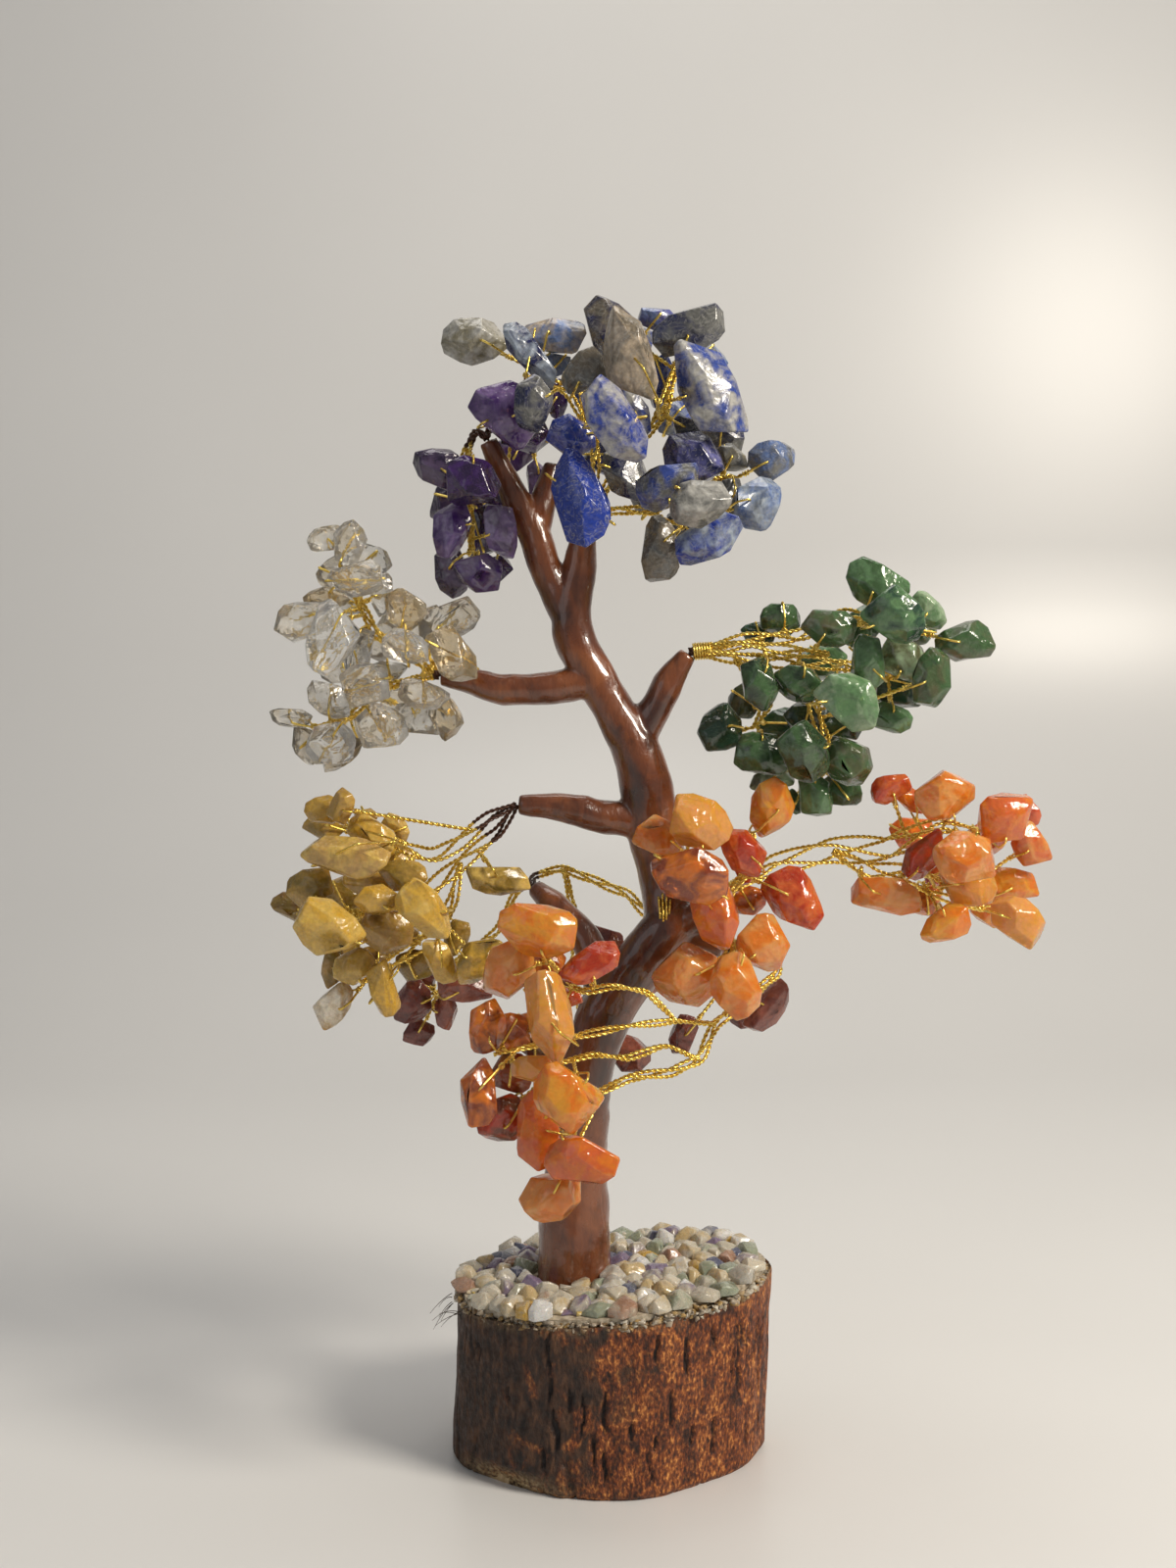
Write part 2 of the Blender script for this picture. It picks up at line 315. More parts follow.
STONE_TINTS = {
    "lapis": [("olive", "white"), ("navy", "ice"), ("sky", "beige"), ("taupe", "navy"), ("beige", "taupe"),
              ("lavender", "sky"), ("grey", "navy"), ("white", "blue"), ("navy", "royal"), ("taupe", "grey"),
              ("sky", "grey"), ("royal", "white"), ("blue", "white"), ("lavender", "royal"),
              ("royal", "royal"),
              ("navy", "grey"), ("navy", "grey"), ("navy", "lavender"), ("olive", "grey"), ("sky", "grey"),
              ("grey", "blue"), ("grey", "white"), ("dark", "grey"), ("ice", "sky"), ("royal", "ice"),
              ("grey", "taupe"), ("dark", "navy"), ("navy", "blue"), ("grey", "blue"), ("blue", "ice"),
              ("navy", "grey"), ("grey", "olive"), ("royal", "navy"), ("sky", "grey"), ("navy", "dark")],
    "amethyst": [("lilac", "violet"), ("plum", "violet"), ("plum", "violet"), ("mauve", "plum"),
                 ("plum", "violet"),
                 ("violet", "lilac"), ("violet", "plum"), ("lilac", "mauve"), ("mauve", "plum"),
                 ("mauve", "violet"),
                 ("violet", "plum"), ("lilac", "mauve"), ("plum", "violet"), ("violet", "mauve"),
                 ("plum", "mauve")],
    "quartz": [("clear", "cream"), ("clear", "cream"), ("clear", "clear"), ("cream", "clear"),
               ("smoke", "clear"),
               ("cream", "honey"), ("clear", "cream"), ("clear", "clear"), ("clear", "smoke"),
               ("smoke", "clear"),
               ("honey", "cream"), ("clear", "cream"), ("cream", "clear"), ("honey", "cream"),
               ("cream", "clear"),
               ("smoke", "clear"), ("clear", "cream"), ("smoke", "cream"), ("clear", "clear"),
               ("honey", "smoke"),
               ("clear", "cream"), ("smoke", "clear"), ("clear", "cream"), ("honey", "smoke"),
               ("smoke", "clear"),
               ("clear", "cream"), ("clear", "smoke"), ("cream", "clear"), ("clear", "clear"),
               ("cream", "smoke"),
               ("clear", "cream")],
    "green": [("jade", "fern"), ("teal", "jade"), ("mint", "jade"), ("khaki", "fern"), ("moss", "fern"),
              ("moss", "teal"), ("khaki", "fern"), ("jade", "fern"), ("moss", "fern"), ("fern", "moss"),
              ("moss", "teal"), ("jade", "mint"), ("khaki", "mint"), ("teal", "moss"), ("khaki", "fern"),
              ("fern", "jade"), ("moss", "teal"), ("moss", "fern"), ("khaki", "mint"), ("moss", "fern"),
              ("fern", "jade"), ("khaki", "fern"), ("fern", "moss"), ("fern", "teal"), ("moss", "fern"),
              ("fern", "jade"), ("moss", "fern"), ("khaki", "fern"), ("teal", "fern"), ("fern", "moss"),
              ("jade", "fern"), ("moss", "khaki")],
    "yellow": [("sand", "gold"), ("sand", "fawn"), ("drab", "sand"), ("gold", "straw"), ("brown", "sand"),
               ("fawn", "straw"), ("straw", "fawn"), ("drab", "sand"), ("drab", "brown"), ("sand", "straw"),
               ("sand", "drab"), ("gold", "straw"), ("gold", "sand"), ("straw", "gold"), ("fawn", "sand"),
               ("sand", "drab"), ("drab", "fawn"), ("straw", "sand"), ("gold", "sand"), ("fawn", "cream"),
               ("gold", "straw"), ("gold", "drab"), ("drab", "sand"), ("drab", "brown"), ("drab", "straw"),
               ("drab", "sand"), ("brown", "sand"), ("sand", "gold"), ("straw", "sand"), ("drab", "gold")],
    "carnelian_far": [("red", "coral"), ("coral", "orange"), ("peach", "orange"), ("orange", "coral"),
                      ("red", "coral"),
                      ("coral", "peach"), ("peach", "orange"), ("red", "brick"), ("peach", "orange"),
                      ("brick", "orange"),
                      ("amber", "peach"), ("orange", "amber"), ("amber", "orange"), ("amber", "peach"),
                      ("orange", "red"), ("orange", "coral"), ("amber", "orange"), ("coral", "red")],
    "carnelian_near": [("orange", "peach"), ("peach", "amber"), ("orange", "amber"), ("coral", "red"),
                       ("red", "coral"),
                       ("brick", "orange"), ("coral", "orange"), ("brick", "orange"), ("coral", "red"),
                       ("peach", "orange"), ("peach", "orange"), ("orange", "peach")],
    "carnelian_front": [("orange", "amber"), ("orange", "peach"), ("brick", "orange"), ("coral", "red"),
                        ("rust", "orange"), ("orange", "brick"), ("peach", "amber"), ("amber", "orange"),
                        ("amber", "orange"), ("amber", "peach"), ("brick", "orange"), ("rust", "brick"),
                        ("red", "rust"), ("coral", "orange"), ("coral", "orange"), ("orange", "peach"),
                        ("rust", "taupe"), ("red", "coral")],
    "jasper": [("maroon", "wine"), ("wine", "maroon"), ("wine", "clay"), ("clay", "wine"), ("maroon", "wine"),
               ("wine", "clay"), ("clay", "wine"), ("wine", "maroon"), ("maroon", "wine"), ("clay", "wine"),
               ("maroon", "wine"), ("wine", "clay"), ("maroon", "clay"), ("wine", "maroon"),
               ("clay", "maroon"),
               ("wine", "clay"), ("maroon", "wine"), ("wine", "maroon")],
}
# For each spray: how clear, how much light soaks in, how far each colour soaks, roughness, tint of the
# veins, their share, strength of the grain.
CARNELIAN_LOOK = (0.34, 0.6, (1.0, 0.32, 0.10), 0.15, "peach", 0.10, 0.08)
STONE_LOOKS = {
    "lapis": (0.0, 0.05, (0.6, 0.7, 1.0), 0.20, "white", 0.40, 0.28),
    "amethyst": (0.35, 0.15, (0.7, 0.4, 1.0), 0.14, "lilac", 0.15, 0.15),
    "quartz": (0.86, 0.10, (1.0, 0.9, 0.75), 0.09, "cream", 0.08, 0.06),
    "green": (0.22, 0.25, (0.5, 1.0, 0.5), 0.15, "mint", 0.10, 0.14),
    "yellow": (0.0, 0.25, (1.0, 0.7, 0.3), 0.24, "brown", 0.25, 0.14),
    "carnelian_far": CARNELIAN_LOOK,
    "carnelian_near": CARNELIAN_LOOK,
    "carnelian_front": CARNELIAN_LOOK,
    "jasper": (0.0, 0.08, (1.0, 0.3, 0.2), 0.20, "clay", 0.2, 0.2),
}
STONE_ROUNDS = {
    "lapis": 0.15, "amethyst": 0.16, "quartz": 0.16, "green": 0.30, "yellow": 0.26, "carnelian_far": 0.22,
    "carnelian_near": 0.22, "carnelian_front": 0.22, "jasper": 0.22,
}
STONE_DENT_SIZE = 3.4
STONE_DENT_DEPTH = 1.3
GRAVEL_TINTS = {
    "pale": ["cream", "bone", "clear", "honey"], "green": ["sage", "sage", "bone"],
    "grey": ["cream", "smoke", "bone"], "amber": ["gold", "honey", "bone"],
    "violet": ["heather", "bone", "heather"],
    "blue": ["slate", "slate", "smoke"], "red": ["blush", "blush", "bone"],
}
FINE_TINTS = ["cream", "bone", "bone", "honey", "sage", "smoke", "blush", "slate", "heather", "straw"]
CRUMB_TINTS = ["bone", "beige", "taupe", "fawn", "brown", "beige"]
# Lamps: place, aim, size, power and colour, in metres and watts. Then the light from all round.
LAMPS = {
    "key": ((0.55, -0.35, 0.62), (0, 0, 0.12), 0.26, 6.6, (1.0, 0.92, 0.80)),
    "fill": ((-0.6, -0.6, 0.4), (0, 0, 0.12), 0.6, 0.55, (0.95, 0.97, 1.0)),
    "top": ((0.0, 0.15, 0.9), (0, 0, 0.1), 0.5, 1.8, (1.0, 0.97, 0.92)),
}
WORLD_COLOUR = (0.93, 0.94, 0.96, 1)
WORLD_STRENGTH = 0.22
MM = 0.001
WIRE_SIDES = 6
SENSOR = 36.0
ROPE_THICK = 0.72
ROPE_STEP = 0.32
ROPE_TWIST = 19.0
YARN_RADIUS = 0.44
YARN_TWIST = 2.5
YARN_SPREAD = 0.4
# How far the yarns of the loosest ropes open, and how many they are.
YARN_SPREADS = {"carnelian_far": (2.4, 4), "green": (0.9, 3), "yellow": (1.3, 3), "carnelian_front": (0.5, 3)}
# How far the brown coat runs out along the wires, and how long the windings at the foot of a spray are.
COATED_LENGTHS = {"yellow": 10.0, "amethyst": 5.0, "jasper": 6.0}
BINDINGS = {"green": 4.0, "carnelian_far": 3.5, "carnelian_front": 3.0}
BINDING_RADIUS = 1.75
BARE_WIRES_PX = [((672, 914), (674, 938)), ((676, 912), (677, 941)), ((680, 914), (680, 939)), ((684, 918),
    (683, 933))]
BARE_SINK = 0.8
TWIG_STEP = 0.35
TWIG_TWIST = 2.6
COAT_CELL = 0.55
COAT_SWELL = 0.25
TIP_CALM = 8.0
COAT_RIDGE_SIZE = 3.2
COAT_RIDGE_STRETCH = 0.3
COAT_RIDGE = 0.55
COAT_LUMP_SIZE = 9.0
COAT_LUMP = 1.3
BARK_COLUMNS = 460
BARK_ROWS = 110
GRAVEL_ROUND = 0.18
GLUE_THICKNESS = 1.2
GRAVEL_FLAT = 0.26
GRAVEL_DENT_SIZE = 1.8
GRAVEL_DENT_DEPTH = 0.7
FINES = 420
FINE_SIZE = 0.95
CRUMBS = 1500
CRUMB_SIZE = 0.72
SPLITS = 46
SPLIT_LENGTH = 4.2
SPLIT_WIDTH = 0.55
SPLIT_DEPTH = 0.9
BARK_SWELL = 1.3
RIM_CRUMBLE = 0.9
# The chip out of the foot of the bark: where it is round the log and how wide, in radians, and how deep.
FOOT_CHIP_TURN = 2.25
FOOT_CHIP_WIDE = 0.32
FOOT_CHIP_DEPTH = 2.2
FIBRES = 9
FIBRE_LENGTH = 6.0


def unit(v):
    return v / np.linalg.norm(v)


def spot(column, row, depth_share):
    """The point seen at a pixel, at a depth from the plane of the trunk."""
    depth = depth_share * DEPTH_REACH
    pitch = math.radians(EYE_PITCH_DEG)
    across = (column - MIDDLE_PX[0]) / FOCAL_PX
    up = (MIDDLE_PX[1] - row) / FOCAL_PX
    reach = (depth + EYE_DISTANCE) / (math.cos(pitch) + up * math.sin(pitch))
    height = EYE_HEIGHT + reach * (up * math.cos(pitch) - math.sin(pitch))
    return np.array([EYE_SIDE + across * reach, depth, height])


def log_top(x):
    """Height of the slanted sawn top of the log."""
    return LOG_HEIGHT + x * math.tan(math.radians(LOG_TOP_SLOPE_DEG))


def corner_radii(points, bend):
    """Bend radius at each inner corner of a path, less where there is no room for it."""
    radii = []
    for a, b, c in zip(points, points[1:], points[2:]):
        turn = math.acos(max(-1, min(1, float(unit(b - a) @ unit(c - b)))))
        room = min(np.linalg.norm(b - a), np.linalg.norm(c - b)) / math.tan(turn / 2)
        radii.append(float(min(bend, 0.45 * room)))
    return radii


def dense(points, radii, step):
    """Points at even steps along the path with its corners rounded."""
    path = [points[0]]
    for a, b, c, radius in zip(points, points[1:], points[2:], radii):
        back, ahead = unit(a - b), unit(c - b)
        half = math.acos(max(-1, min(1, float(back @ ahead)))) / 2
        middle = b + unit(back + ahead) * radius / math.sin(half)
        first = unit(b + back * radius / math.tan(half) - middle)
        last = unit(b + ahead * radius / math.tan(half) - middle)
        side = unit(last - first * (first @ last))
        for k in range(9):
            angle = (math.pi - 2 * half) * k / 8
            path.append(middle + radius * (math.cos(angle) * first + math.sin(angle) * side))
    path.append(points[-1])
    path = np.array(path)
    along = np.concatenate([[0], np.cumsum(np.linalg.norm(np.diff(path, axis=0), axis=1))])
    marks = np.linspace(0, along[-1], max(2, int(along[-1] / step) + 1))
    return np.array([[np.interp(m, along, path[:, k]) for k in range(3)] for m in marks])


def corners_inside(planes):
    """Corners of the space inside planes given as (normal, distance)."""
    normals = np.array([p[0] for p in planes])
    distances = np.array([p[1] for p in planes])
    trios = np.array(list(itertools.combinations(range(len(planes)), 3)))
    trios = trios[np.abs(np.linalg.det(normals[trios])) > 0.02]
    found = np.linalg.solve(normals[trios], distances[trios][:, :, None])[:, :, 0]
    scale = distances.max()
    found = found[np.all(found @ normals.T <= distances + scale * 0.0001, axis=1)]
    corners = []
    for corner in found:
        if all(np.linalg.norm(corner - c) > scale * 0.02 for c in corners):
            corners.append(corner)
    return np.array(corners)


def chip_shape(rng, half):
    """Corners, about its own middle, of one tumbled chip of the given half sizes."""
    planes = []
    for axis in range(3):
        for side in (-1, 1):
            normal = np.array([rng.uniform(-FACE_TILT, FACE_TILT) for _ in range(3)])
            normal[axis] = side
            planes.append((unit(normal), 1.0))
    for signs in itertools.product((-1, 1), repeat=3):
        normal = np.array([s * rng.uniform(0.7, 1.3) for s in signs])
        planes.append((unit(normal), rng.uniform(*CORNER_SHARES)))
    for _ in range(CHIP_EDGES):
        normal = np.array([rng.choice((-1, 1)) * rng.uniform(0.7, 1.3) for _ in range(3)])
        normal[rng.randrange(3)] = rng.uniform(-FACE_TILT, FACE_TILT)
        planes.append((unit(normal), rng.uniform(*EDGE_SHARES)))
    corners = corners_inside(planes)
    low, high = corners.min(axis=0), corners.max(axis=0)
    return (corners - (low + high) / 2) * 2 / (high - low) * np.array(half)


class Chip:
    """One drilled stone: where it is, its corners about that place and the wire that holds it."""

    def __init__(self, spray, number, row):
        column, line, depth_share, length_share, width_share, turn = row
        rng = random.Random(f"{spray} {number}")
        self.middle = spot(column, line, depth_share)
        width = width_share * CHIP_LENGTH
        half = (length_share * CHIP_LENGTH / 2, width / 2, width * CHIP_THICKNESS_SHARE / 2)
        angle = math.radians(turn)
        along = unit(np.array([math.cos(angle), rng.uniform(-CHIP_TILT, CHIP_TILT), math.sin(angle)]))
        toward = np.array([rng.uniform(-CHIP_TILT, CHIP_TILT), -1, rng.uniform(-CHIP_TILT, CHIP_TILT)])
        toward = unit(toward - along * (along @ toward))
        self.local, self.half = chip_shape(rng, half), np.array(half)
        self.toward = toward
        self.axes = np.array([along, np.cross(toward, along), toward])
        self.corners = self.local @ self.axes
        self.size = np.linalg.norm(self.corners, axis=1).max()

    def reach(self, direction):
        """How far the chip reaches from its middle in a direction."""
        return (self.corners @ direction).max()

    def eye(self, root):
        """The eye of wire round one side and through the hole, for a twig that comes from a root."""
        d = unit(self.middle - root)
        h = unit(self.toward - d * (d @ self.toward))
        gap = STRAND_RADIUS + WIRE_CLEARANCE
        low = self.reach(-d) + gap
        lowest = self.corners[np.argmax(self.corners @ -d)] @ h
        legs = []
        for side in (h, -h):
            far = self.reach(side) + gap
            slant = self.reach(unit(side - d)) * math.sqrt(2) + gap * math.sqrt(2)
            legs.append((side, far, slant - low, slant - far))
        hole = min(HOLE_SHARE * low, legs[0][3] - LOOP_BEND, legs[1][3] - LOOP_BEND)
        tip = self.middle - d * low + h * lowest
        points = []
        for side, far, inner, upper in legs:
            first = self.middle - d * low + side * max(inner, side @ h * lowest + LOOP_BEND)
            second = self.middle - d * upper + side * far
            third = self.middle - d * hole + side * far
            points.append([first, second, third])
        start = tip - d * KNOT_RADIUS * 0.4
        ring = [start + h * STRAND_RADIUS] + points[0] + points[1][::-1] + [start - h * STRAND_RADIUS]
        return start, ring


def limb_points():
    """Middle line and radii of every limb of the trunk, the first from the top of the log."""
    limbs = {}
    for name, rows in LIMB_SHARES.items():
        points = [spot(c, r, d) for c, r, d, _ in rows]
        radii = [share * TRUNK_RADIUS for *_, share in rows]
        if name == "lower":
            foot = np.array([points[0][0], points[0][1], 0])
            foot[2] = log_top(foot[0])
            points.insert(0, foot)
            radii.insert(0, TRUNK_RADIUS)
        limbs[name] = (points, radii)
    return limbs


def noise(points, size, seed):
    """Smooth noise from nought to one at points, with features of a size."""
    p = np.asarray(points) / size + seed * 17.3
    cell = np.floor(p).astype(np.int64)
    part = p - cell
    part = part * part * (3 - 2 * part)
    total = np.zeros(len(p))
    for corner in itertools.product((0, 1), repeat=3):
        c = cell + np.array(corner)
        mixed = (c[:, 0] * 374761393 + c[:, 1] * 668265263 + c[:, 2] * 974634777) & 0xFFFFFFFF
        mixed = ((mixed ^ (mixed >> 13)) * 1274126177) & 0xFFFFFFFF
        value = ((mixed ^ (mixed >> 16)) & 0xFFFF) / 65535
        weight = np.prod(np.where(corner, part, 1 - part), axis=1)
        total += value * weight
    return total


def rough_noise(points, size, seed):
    """Noise of three sizes, from nought to one."""
    return (noise(points, size, seed) * 4 + noise(points, size / 2, seed + 1) * 2
            + noise(points, size / 4, seed + 2)) / 7


def corners_of(node):
    """Vertices of a CAD node in millimetres, merged where they meet, and the links between them."""
    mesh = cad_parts[node].data
    co = np.zeros(len(mesh.vertices) * 3)
    mesh.vertices.foreach_get("co", co)
    co = co.reshape(-1, 3) / MM
    keys, index = np.unique(np.round(co, 3), axis=0, return_inverse=True)
    edges = np.zeros(len(mesh.edges) * 2, dtype=np.int64)
    mesh.edges.foreach_get("vertices", edges)
    return keys, index.reshape(-1)[edges.reshape(-1, 2)]


def islands(node):
    """Vertices of each separate solid of a CAD node."""
    points, links = corners_of(node)
    label = np.arange(len(points))
    while True:
        low = np.minimum(label[links[:, 0]], label[links[:, 1]])
        changed = label.copy()
        np.minimum.at(changed, links[:, 0], low)
        np.minimum.at(changed, links[:, 1], low)
        changed = changed[changed]
        if (changed == label).all():
            break
        label = changed
    return [points[label == k] for k in np.unique(label)]


def seat_chips(spray, chips):
    """Put each chip where its CAD solid is, found by the size of its box."""
    found = []
    for k in range(3):
        found += islands(f"{spray}_stones_{k + 1}")
    spans = np.array([np.concatenate([i.max(axis=0) - i.min(axis=0), (i.max(axis=0) + i.min(axis=0)) / 2])
                      for i in found])
    for chip in chips:
        low, high = chip.corners.min(axis=0), chip.corners.max(axis=0)
        miss = np.linalg.norm(spans[:, :3] - (high - low), axis=1)
        miss = miss + 0.01 * np.linalg.norm(spans[:, 3:] - chip.middle, axis=1)
        chip.middle = spans[np.argmin(miss), 3:] - (low + high) / 2


def find_twig(chip, ropes, points):
    """The twig of a chip: the rope point whose twig starts where the CAD twig does."""
    choices = []
    for _, radius, line in ropes:
        runs = np.gradient(line, axis=0)
        for k in range(3, len(line)):
            far = float(np.linalg.norm(line[k] - chip.middle))
            choices.append((far, radius, line[k], unit(runs[k]), k == len(line) - 1))
    choices.sort(key=lambda choice: choice[0])
    best = None
    for far, radius, mark, run, last in choices:
        knot, ring = chip.eye(mark)
        d = unit(knot - mark)
        ahead = float(d @ run)
        across = math.sqrt(max(0, 1 - ahead ** 2))
        if last and ahead > 0.5:
            lift = (TWIG_RADIUS * across + WIRE_CLEARANCE) / ahead
        elif across > 0.4:
            lift = (radius + TWIG_RADIUS * abs(ahead) + WIRE_CLEARANCE) / across
        else:
            continue
        start = mark + d * lift
        off = points - start
        near = np.abs(np.linalg.norm(off, axis=1) - TWIG_RADIUS) + np.abs(off @ d)
        miss = np.sort(near)[:6].mean()
        if best is None or miss < best[0]:
            best = (miss, mark, knot, ring)
        if miss < 0.01:
            break
    chip.miss, chip.mark, chip.knot, chip.ring = best


def frames(path):
    """Directions along a path and two sideways directions that turn as little as can be."""
    run = np.gradient(path, axis=0)
    run /= np.linalg.norm(run, axis=1)[:, None]
    side = np.cross(run[0], np.eye(3)[np.argmin(np.abs(run[0]))])
    sides = []
    for r in run:
        side = side - r * (side @ r)
        side = side / math.sqrt(side @ side)
        sides.append(side)
    sides = np.array(sides)
    return run, sides, np.cross(run, sides)


class Shape:
    """Vertices, faces and vertex values that grow piece by piece into one mesh."""

    def __init__(self):
        self.verts, self.faces, self.values, self.count = [], [], {}, 0

    def add(self, verts, faces, **values):
        self.verts.append(np.asarray(verts))
        self.faces += [[i + self.count for i in face] for face in faces]
        for key, value in values.items():
            value = np.asarray(value, dtype=float)
            if value.shape[:1] != (len(verts),):
                value = np.tile(value, (len(verts),) + (1,) * value.ndim).reshape((len(verts),) + value.shape)
            self.values.setdefault(key, []).append(value)
        self.count += len(verts)

    def tube(self, path, radius, sides, **values):
        path = np.asarray(path)
        _, one, two = frames(path)
        radius = np.broadcast_to(radius, (len(path),))
        angle = np.arange(sides) * 2 * math.pi / sides
        ring = np.cos(angle)[None, :, None] * one[:, None] + np.sin(angle)[None, :, None] * two[:, None]
        verts = (path[:, None] + ring * radius[:, None, None]).reshape(-1, 3)
        faces = []
        for k in range(len(path) - 1):
            for i in range(sides):
                j = (i + 1) % sides
                faces.append([k * sides + i, k * sides + j, k * sides + sides + j, k * sides + sides + i])
        faces.append(list(range(sides))[::-1])
        faces.append([(len(path) - 1) * sides + i for i in range(sides)])
        self.add(verts, faces, **values)

    def make(self, name, material, body, replaced=(), smooth=True):
        mesh = bpy.data.meshes.new(name)
        mesh.from_pydata((np.concatenate(self.verts) * MM).tolist(), [], self.faces)
        mesh.polygons.foreach_set("use_smooth", [smooth] * len(mesh.polygons))
        for key, parts in self.values.items():
            value = np.concatenate(parts)
            if value.ndim == 1:
                mesh.attributes.new(key, "FLOAT", "POINT").data.foreach_set("value", value)
            else:
                rgba = np.concatenate([value, np.ones((len(value), 1))], axis=1)
                mesh.attributes.new(key, "FLOAT_COLOR", "POINT").data.foreach_set("color", rgba.ravel())
        mesh.materials.append(material)
        obj = bpy.data.objects.new(name, mesh)
        bpy.context.scene.collection.objects.link(obj)
        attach(obj, body)
        if replaced:
            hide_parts(*replaced)
        return obj


def ball(level):
    """Directions spread over a sphere and the faces between them."""
    grown = bmesh.new()
    bmesh.ops.create_icosphere(grown, subdivisions=level, radius=1)
    verts = np.array([v.co[:] for v in grown.verts])
    faces = [[v.index for v in f.verts] for f in grown.faces]
    grown.free()
    return verts / np.linalg.norm(verts, axis=1)[:, None], faces


def resample(path, step):
    """Points at even steps along a path."""
    path = np.asarray(path)
    along = np.concatenate([[0], np.cumsum(np.linalg.norm(np.diff(path, axis=0), axis=1))])
    marks = np.linspace(0, along[-1], max(3, int(along[-1] / step) + 1))
    return np.stack([np.interp(marks, along, path[:, k]) for k in range(3)], axis=1)


def strands(path, count, offset, pitch, phase):
    """Middle lines of strands twisted round a path."""
    _, one, two = frames(path)
    along = np.concatenate([[0], np.cumsum(np.linalg.norm(np.diff(path, axis=0), axis=1))])
    offset = np.broadcast_to(offset, (len(path),))
    for k in range(count):
        angle = phase + 2 * math.pi * (along / pitch + k / count)
        yield path + offset[:, None] * (np.cos(angle)[:, None] * one + np.sin(angle)[:, None] * two)


# Materials. Each is built from noise in the frame of the object.
class Paint:
    """One node material under construction."""

    def __init__(self, name):
        self.material = bpy.data.materials.new(name)
        self.material.use_nodes = True
        self.tree = self.material.node_tree
        self.shader = self.tree.nodes["Principled BSDF"]
        self.place = self.tree.nodes.new("ShaderNodeTexCoord").outputs["Object"]

    def link(self, value, socket):
        if isinstance(value, bpy.types.NodeSocket):
            self.tree.links.new(value, socket)
        else:
            socket.default_value = value

    def node(self, kind, out, settings=None, **inputs):
        made = self.tree.nodes.new("ShaderNode" + kind)
        for key, value in (settings or {}).items():
            setattr(made, key, value)
        for key, value in inputs.items():
            self.link(value, made.inputs[int(key[1:]) if key[1:].isdigit() else key.replace("_", " ")])
        return made.outputs[out]

    def value(self, key, out="Fac"):
        return self.node("Attribute", out, {"attribute_name": key})

    def noise(self, size, detail=3.0, twist=0.0, stretch=(1, 1, 1), shift=None):
        """Noise with features of a size in millimetres."""
        place = self.node("Mapping", "Vector", None, Vector=self.place, Scale=stretch)
        if shift is not None:
            place = self.node("VectorMath", "Vector", {"operation": "ADD"}, i0=place, i1=shift)
        return self.node("TexNoise", "Fac", None, Vector=place, Scale=1 / (size * MM), Detail=detail,
                         Distortion=twist)

    def ramp(self, value, *stops):
        made = self.tree.nodes.new("ShaderNodeValToRGB")
        self.link(value, made.inputs["Fac"])
        while len(made.color_ramp.elements) < len(stops):
            made.color_ramp.elements.new(0.5)
        for element, (at, colour) in zip(made.color_ramp.elements, stops):
            element.position = at
            element.color = (*colour, 1) if isinstance(colour, tuple) else (colour, colour, colour, 1)
        return made.outputs["Color"]

    def mix(self, share, first, second, kind="MIX"):
        return self.node("Mix", 2, {"data_type": "RGBA", "blend_type": kind}, i0=share, i6=first, i7=second)

    def math(self, kind, first, second=0.5):
        return self.node("Math", 0, {"operation": kind}, i0=first, i1=second)

    def bump(self, height, depth, normal=None):
        inputs = {"Height": height, "Distance": depth * MM, "Strength": 1.0}
        if normal is not None:
            inputs["Normal"] = normal
        return self.node("Bump", "Normal", None, **inputs)

    def done(self, **inputs):
        for key, value in inputs.items():
            self.link(value, self.shader.inputs[key.replace("_", " ")])
        return self.material


def stone_paint(name, clear, glow, glow_colour, rough, veining=0.2, grit=0.2):
    """Tumbled stone: two tints in clouds, fine grain and veins, a polished skin."""
    p = Paint(name)
    seed = p.node("VectorMath", "Vector", {"operation": "SCALE"}, i0=(0.013, 0.031, 0.022),
                  Scale=p.value("seed"))
    cloud = p.ramp(p.noise(4.5, 4, 0.8, shift=seed), (0.40, 0.0), (0.60, 1.0))
    colour = p.mix(cloud, p.value("tint_a", "Color"), p.value("tint_b", "Color"))
    grain = p.ramp(p.noise(0.9, 3, 0.3, shift=seed), (0.3, 1 - grit), (0.7, 1 + grit * 0.8))
    colour = p.mix(1.0, colour, grain, "MULTIPLY")
    veins = p.ramp(p.noise(2.6, 2, 1.6, shift=seed), (0.47, 0.0), (0.5, 1.0), (0.53, 0.0))
    colour = p.mix(p.math("MULTIPLY", veins, veining), colour, p.value("vein", "Color"))
    bump = p.bump(p.noise(1.6, 2, 0.2, shift=seed), 0.16)
    bump = p.bump(p.noise(4.0, 2, 0.4, shift=seed), 0.9, bump)
    gloss = p.ramp(p.noise(1.3, 3, shift=seed), (0.3, rough * 0.6), (0.7, rough * 1.6))
    return p.done(Base_Color=colour, Normal=bump, Roughness=gloss, IOR=1.54, Coat_Weight=0.35,
                  Coat_Roughness=0.08, Transmission_Weight=clear, Subsurface_Weight=glow,
                  Subsurface_Radius=glow_colour, Subsurface_Scale=0.004)


